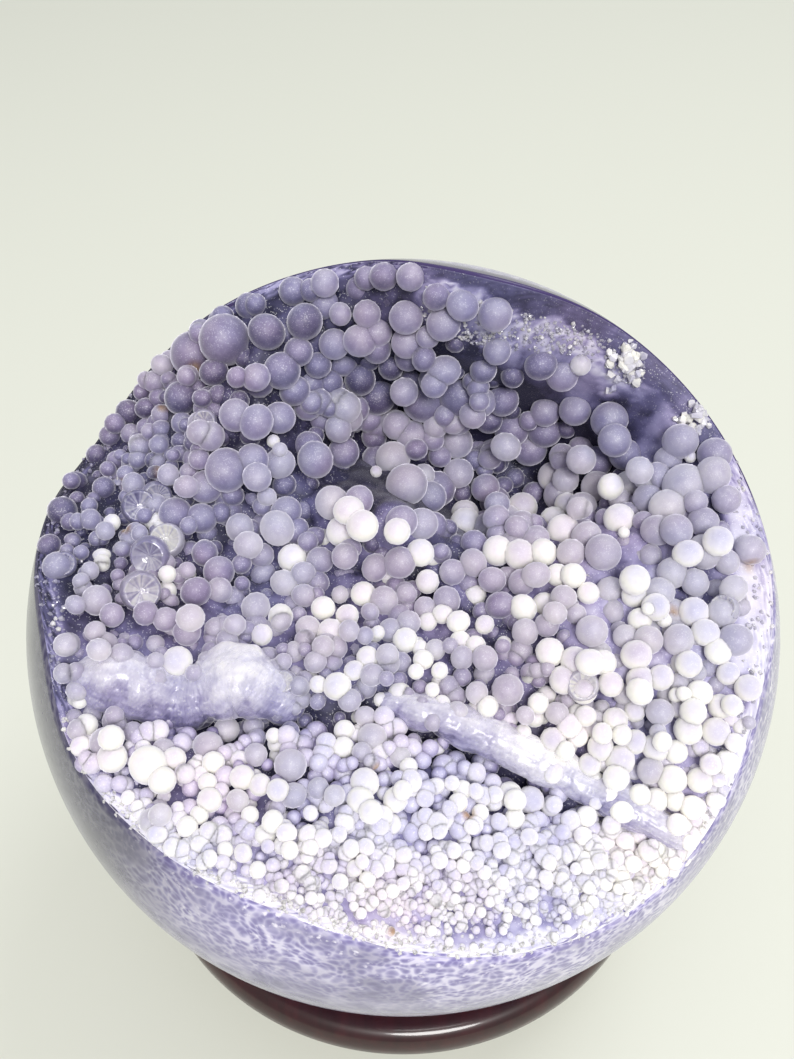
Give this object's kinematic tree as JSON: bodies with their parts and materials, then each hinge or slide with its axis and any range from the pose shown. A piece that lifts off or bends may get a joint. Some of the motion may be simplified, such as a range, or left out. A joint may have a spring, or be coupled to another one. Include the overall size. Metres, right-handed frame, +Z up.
{
  "type": "grape agate sphere on stand",
  "caption": "Polished purple chalcedony ball with a wide hollow lined with round grape-like growths, resting in a dark red turned ring stand.",
  "frame": {"origin": "centre of the stand's underside", "axes": "+Z up, +X to the viewer's right, -Y towards the viewer, who looks down into the hollow"},
  "size_m": [0.09, 0.09, 0.0972],
  "materials": {
    "polished_stone": "polished, mottled purple and grey",
    "grape_stone": "natural frosted growth, lavender to near white",
    "lacquered_wood": "dark red gloss lacquer"
  },
  "bodies": {
    "root": {"ball": "polished_stone", "grape_crust": "grape_stone", "ring_stand": "lacquered_wood"}
  },
  "joints": []
}
